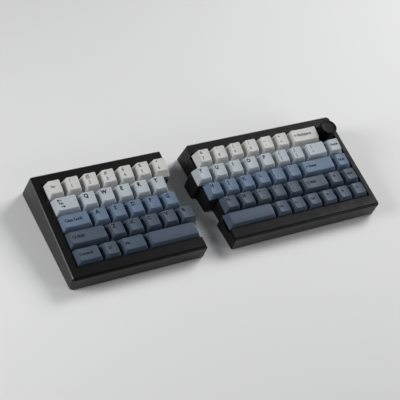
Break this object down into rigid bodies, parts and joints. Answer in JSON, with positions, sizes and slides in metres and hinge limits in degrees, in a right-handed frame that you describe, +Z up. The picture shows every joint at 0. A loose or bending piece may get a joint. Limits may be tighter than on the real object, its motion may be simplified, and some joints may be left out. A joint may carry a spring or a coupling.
{
  "type": "split keyboard",
  "caption": "Ergonomic keyboard split into stepped, wedge-shaped halves, with sculpted keycaps on sprung switches and a knob that turns and presses.",
  "frame": {"origin": "centre of the base of the bounding box, on the desk, with the halves as pictured", "axes": "+X to the typist's right, along the keyboard; +Y away from the typist; +Z up from the desk"},
  "size_m": [0.3532, 0.129, 0.044],
  "materials": {
    "case_lower": "satin anodised, dark grey",
    "case_upper": "satin anodised, near black",
    "knob_metal": "satin anodised, near black",
    "plate_metal": "satin anodised, black",
    "board": "solder mask over glass fibre",
    "socket_metal": "plated",
    "screw_steel": "blackened",
    "foot_rubber": "matt",
    "switch_plastic": "matt",
    "encoder_metal": "turned",
    "cap_warm_white": "fine matt moulded",
    "cap_cool_white": "fine matt moulded",
    "cap_steel_blue": "fine matt moulded",
    "cap_dark_slate": "fine matt moulded",
    "cap_slate_blue": "fine matt moulded"
  },
  "bodies": {
    "left_half": {"left_lower_case": "case_lower", "left_upper_case": "case_upper", "left_switch_plate": "plate_metal", "left_circuit_board": "board", "left_usb_sockets": "socket_metal", "left_case_screws": "screw_steel", "left_rubber_feet": "foot_rubber", "left_switch_housings": "switch_plastic"},
    "right_half": {"right_lower_case": "case_lower", "right_upper_case": "case_upper", "right_switch_plate": "plate_metal", "right_circuit_board": "board", "right_usb_sockets": "socket_metal", "right_case_screws": "screw_steel", "right_rubber_feet": "foot_rubber", "right_switch_housings": "switch_plastic", "encoder_body": "encoder_metal"},
    "knob_press": {"encoder_plunger": "switch_plastic"},
    "knob_turn": {"encoder_shaft": "encoder_metal", "knob": "knob_metal"},
    "left_space_bar_body": {"left_space_bar": "cap_slate_blue"},
    "left_shift_key_body": {"left_shift_key": "cap_dark_slate"},
    "tab_key_body": {"tab_key": "cap_cool_white"},
    "q_key_body": {"q_key": "cap_cool_white"},
    "w_key_body": {"w_key": "cap_cool_white"},
    "e_key_body": {"e_key": "cap_cool_white"},
    "r_key_body": {"r_key": "cap_cool_white"},
    "t_key_body": {"t_key": "cap_cool_white"},
    "a_key_body": {"a_key": "cap_steel_blue"},
    "s_key_body": {"s_key": "cap_steel_blue"},
    "d_key_body": {"d_key": "cap_steel_blue"},
    "f_key_body": {"f_key": "cap_steel_blue"},
    "g_key_body": {"g_key": "cap_steel_blue"},
    "z_key_body": {"z_key": "cap_dark_slate"},
    "x_key_body": {"x_key": "cap_dark_slate"},
    "c_key_body": {"c_key": "cap_dark_slate"},
    "v_key_body": {"v_key": "cap_dark_slate"},
    "b_key_body": {"b_key": "cap_dark_slate"},
    "left_number_keys_body": {"left_number_keys": "cap_warm_white"},
    "left_modifier_keys_body": {"left_modifier_keys": "cap_slate_blue"},
    "right_space_bar_body": {"right_space_bar": "cap_slate_blue"},
    "enter_key_body": {"enter_key": "cap_steel_blue"},
    "backspace_key_body": {"backspace_key": "cap_warm_white"},
    "right_shift_key_body": {"right_shift_key": "cap_dark_slate"},
    "y_key_body": {"y_key": "cap_cool_white"},
    "u_key_body": {"u_key": "cap_cool_white"},
    "i_key_body": {"i_key": "cap_cool_white"},
    "o_key_body": {"o_key": "cap_cool_white"},
    "p_key_body": {"p_key": "cap_cool_white"},
    "h_key_body": {"h_key": "cap_steel_blue"},
    "j_key_body": {"j_key": "cap_steel_blue"},
    "k_key_body": {"k_key": "cap_steel_blue"},
    "l_key_body": {"l_key": "cap_steel_blue"},
    "n_key_body": {"n_key": "cap_dark_slate"},
    "m_key_body": {"m_key": "cap_dark_slate"},
    "arrow_keys_body": {"arrow_keys": "cap_slate_blue"},
    "navigation_keys_body": {"navigation_keys": "cap_steel_blue"},
    "punctuation_keys_body": {"punctuation_keys": "cap_steel_blue"},
    "right_number_keys_body": {"right_number_keys": "cap_warm_white"},
    "right_modifier_keys_body": {"right_modifier_keys": "cap_slate_blue"}
  },
  "joints": [
    {"name": "halves_slide", "type": "slide", "parent": "left_half", "child": "right_half", "axis": [1, 0, 0], "range_m": [-0.0323, 0.1]},
    {"name": "knob_push", "type": "slide", "parent": "right_half", "child": "knob_press", "axis": [0, 0.1219, -0.9925], "range_m": [0, 0.0005], "stiffness_N_per_m": 3000, "springref_m": -0.0005},
    {"name": "knob_spin", "type": "hinge", "parent": "knob_press", "child": "knob_turn", "pos_m": [0.16037, 0.03282, 0.04081], "axis": [0, -0.1219, 0.9925], "continuous": true},
    {"name": "left_space_bar_travel", "type": "slide", "parent": "left_half", "child": "left_space_bar_body", "axis": [0, 0.1219, -0.9925], "range_m": [0, 0.004], "stiffness_N_per_m": 75, "springref_m": -0.004},
    {"name": "right_space_bar_travel", "type": "slide", "parent": "right_half", "child": "right_space_bar_body", "axis": [0, 0.1219, -0.9925], "range_m": [0, 0.004], "stiffness_N_per_m": 75, "springref_m": -0.004},
    {"name": "enter_key_travel", "type": "slide", "parent": "right_half", "child": "enter_key_body", "axis": [0, 0.1219, -0.9925], "range_m": [0, 0.004], "stiffness_N_per_m": 75, "springref_m": -0.004},
    {"name": "arrow_keys_travel", "type": "slide", "parent": "right_half", "child": "arrow_keys_body", "axis": [0, 0.1219, -0.9925], "range_m": [0, 0.004], "stiffness_N_per_m": 300, "springref_m": -0.004},
    {"name": "left_number_keys_travel", "type": "slide", "parent": "left_half", "child": "left_number_keys_body", "axis": [0, 0.1219, -0.9925], "range_m": [0, 0.004], "stiffness_N_per_m": 525, "springref_m": -0.004},
    {"name": "backspace_key_travel", "type": "slide", "parent": "right_half", "child": "backspace_key_body", "axis": [0, 0.1219, -0.9925], "range_m": [0, 0.004], "stiffness_N_per_m": 75, "springref_m": -0.004},
    {"name": "punctuation_keys_travel", "type": "slide", "parent": "right_half", "child": "punctuation_keys_body", "axis": [0, 0.1219, -0.9925], "range_m": [0, 0.004], "stiffness_N_per_m": 600, "springref_m": -0.004},
    {"name": "left_shift_key_travel", "type": "slide", "parent": "left_half", "child": "left_shift_key_body", "axis": [0, 0.1219, -0.9925], "range_m": [0, 0.004], "stiffness_N_per_m": 75, "springref_m": -0.004},
    {"name": "navigation_keys_travel", "type": "slide", "parent": "right_half", "child": "navigation_keys_body", "axis": [0, 0.1219, -0.9925], "range_m": [0, 0.004], "stiffness_N_per_m": 225, "springref_m": -0.004},
    {"name": "right_number_keys_travel", "type": "slide", "parent": "right_half", "child": "right_number_keys_body", "axis": [0, 0.1219, -0.9925], "range_m": [0, 0.004], "stiffness_N_per_m": 450, "springref_m": -0.004},
    {"name": "left_modifier_keys_travel", "type": "slide", "parent": "left_half", "child": "left_modifier_keys_body", "axis": [0, 0.1219, -0.9925], "range_m": [0, 0.004], "stiffness_N_per_m": 300, "springref_m": -0.004},
    {"name": "right_modifier_keys_travel", "type": "slide", "parent": "right_half", "child": "right_modifier_keys_body", "axis": [0, 0.1219, -0.9925], "range_m": [0, 0.004], "stiffness_N_per_m": 225, "springref_m": -0.004},
    {"name": "tab_key_travel", "type": "slide", "parent": "left_half", "child": "tab_key_body", "axis": [0, 0.1219, -0.9925], "range_m": [0, 0.004], "stiffness_N_per_m": 75, "springref_m": -0.004},
    {"name": "right_shift_key_travel", "type": "slide", "parent": "right_half", "child": "right_shift_key_body", "axis": [0, 0.1219, -0.9925], "range_m": [0, 0.004], "stiffness_N_per_m": 75, "springref_m": -0.004},
    {"name": "q_key_travel", "type": "slide", "parent": "left_half", "child": "q_key_body", "axis": [0, 0.1219, -0.9925], "range_m": [0, 0.004], "stiffness_N_per_m": 75, "springref_m": -0.004},
    {"name": "w_key_travel", "type": "slide", "parent": "left_half", "child": "w_key_body", "axis": [0, 0.1219, -0.9925], "range_m": [0, 0.004], "stiffness_N_per_m": 75, "springref_m": -0.004},
    {"name": "e_key_travel", "type": "slide", "parent": "left_half", "child": "e_key_body", "axis": [0, 0.1219, -0.9925], "range_m": [0, 0.004], "stiffness_N_per_m": 75, "springref_m": -0.004},
    {"name": "r_key_travel", "type": "slide", "parent": "left_half", "child": "r_key_body", "axis": [0, 0.1219, -0.9925], "range_m": [0, 0.004], "stiffness_N_per_m": 75, "springref_m": -0.004},
    {"name": "t_key_travel", "type": "slide", "parent": "left_half", "child": "t_key_body", "axis": [0, 0.1219, -0.9925], "range_m": [0, 0.004], "stiffness_N_per_m": 75, "springref_m": -0.004},
    {"name": "a_key_travel", "type": "slide", "parent": "left_half", "child": "a_key_body", "axis": [0, 0.1219, -0.9925], "range_m": [0, 0.004], "stiffness_N_per_m": 75, "springref_m": -0.004},
    {"name": "s_key_travel", "type": "slide", "parent": "left_half", "child": "s_key_body", "axis": [0, 0.1219, -0.9925], "range_m": [0, 0.004], "stiffness_N_per_m": 75, "springref_m": -0.004},
    {"name": "d_key_travel", "type": "slide", "parent": "left_half", "child": "d_key_body", "axis": [0, 0.1219, -0.9925], "range_m": [0, 0.004], "stiffness_N_per_m": 75, "springref_m": -0.004},
    {"name": "f_key_travel", "type": "slide", "parent": "left_half", "child": "f_key_body", "axis": [0, 0.1219, -0.9925], "range_m": [0, 0.004], "stiffness_N_per_m": 75, "springref_m": -0.004},
    {"name": "g_key_travel", "type": "slide", "parent": "left_half", "child": "g_key_body", "axis": [0, 0.1219, -0.9925], "range_m": [0, 0.004], "stiffness_N_per_m": 75, "springref_m": -0.004},
    {"name": "z_key_travel", "type": "slide", "parent": "left_half", "child": "z_key_body", "axis": [0, 0.1219, -0.9925], "range_m": [0, 0.004], "stiffness_N_per_m": 75, "springref_m": -0.004},
    {"name": "x_key_travel", "type": "slide", "parent": "left_half", "child": "x_key_body", "axis": [0, 0.1219, -0.9925], "range_m": [0, 0.004], "stiffness_N_per_m": 75, "springref_m": -0.004},
    {"name": "c_key_travel", "type": "slide", "parent": "left_half", "child": "c_key_body", "axis": [0, 0.1219, -0.9925], "range_m": [0, 0.004], "stiffness_N_per_m": 75, "springref_m": -0.004},
    {"name": "v_key_travel", "type": "slide", "parent": "left_half", "child": "v_key_body", "axis": [0, 0.1219, -0.9925], "range_m": [0, 0.004], "stiffness_N_per_m": 75, "springref_m": -0.004},
    {"name": "b_key_travel", "type": "slide", "parent": "left_half", "child": "b_key_body", "axis": [0, 0.1219, -0.9925], "range_m": [0, 0.004], "stiffness_N_per_m": 75, "springref_m": -0.004},
    {"name": "y_key_travel", "type": "slide", "parent": "right_half", "child": "y_key_body", "axis": [0, 0.1219, -0.9925], "range_m": [0, 0.004], "stiffness_N_per_m": 75, "springref_m": -0.004},
    {"name": "u_key_travel", "type": "slide", "parent": "right_half", "child": "u_key_body", "axis": [0, 0.1219, -0.9925], "range_m": [0, 0.004], "stiffness_N_per_m": 75, "springref_m": -0.004},
    {"name": "i_key_travel", "type": "slide", "parent": "right_half", "child": "i_key_body", "axis": [0, 0.1219, -0.9925], "range_m": [0, 0.004], "stiffness_N_per_m": 75, "springref_m": -0.004},
    {"name": "o_key_travel", "type": "slide", "parent": "right_half", "child": "o_key_body", "axis": [0, 0.1219, -0.9925], "range_m": [0, 0.004], "stiffness_N_per_m": 75, "springref_m": -0.004},
    {"name": "p_key_travel", "type": "slide", "parent": "right_half", "child": "p_key_body", "axis": [0, 0.1219, -0.9925], "range_m": [0, 0.004], "stiffness_N_per_m": 75, "springref_m": -0.004},
    {"name": "h_key_travel", "type": "slide", "parent": "right_half", "child": "h_key_body", "axis": [0, 0.1219, -0.9925], "range_m": [0, 0.004], "stiffness_N_per_m": 75, "springref_m": -0.004},
    {"name": "j_key_travel", "type": "slide", "parent": "right_half", "child": "j_key_body", "axis": [0, 0.1219, -0.9925], "range_m": [0, 0.004], "stiffness_N_per_m": 75, "springref_m": -0.004},
    {"name": "k_key_travel", "type": "slide", "parent": "right_half", "child": "k_key_body", "axis": [0, 0.1219, -0.9925], "range_m": [0, 0.004], "stiffness_N_per_m": 75, "springref_m": -0.004},
    {"name": "l_key_travel", "type": "slide", "parent": "right_half", "child": "l_key_body", "axis": [0, 0.1219, -0.9925], "range_m": [0, 0.004], "stiffness_N_per_m": 75, "springref_m": -0.004},
    {"name": "n_key_travel", "type": "slide", "parent": "right_half", "child": "n_key_body", "axis": [0, 0.1219, -0.9925], "range_m": [0, 0.004], "stiffness_N_per_m": 75, "springref_m": -0.004},
    {"name": "m_key_travel", "type": "slide", "parent": "right_half", "child": "m_key_body", "axis": [0, 0.1219, -0.9925], "range_m": [0, 0.004], "stiffness_N_per_m": 75, "springref_m": -0.004}
  ]
}
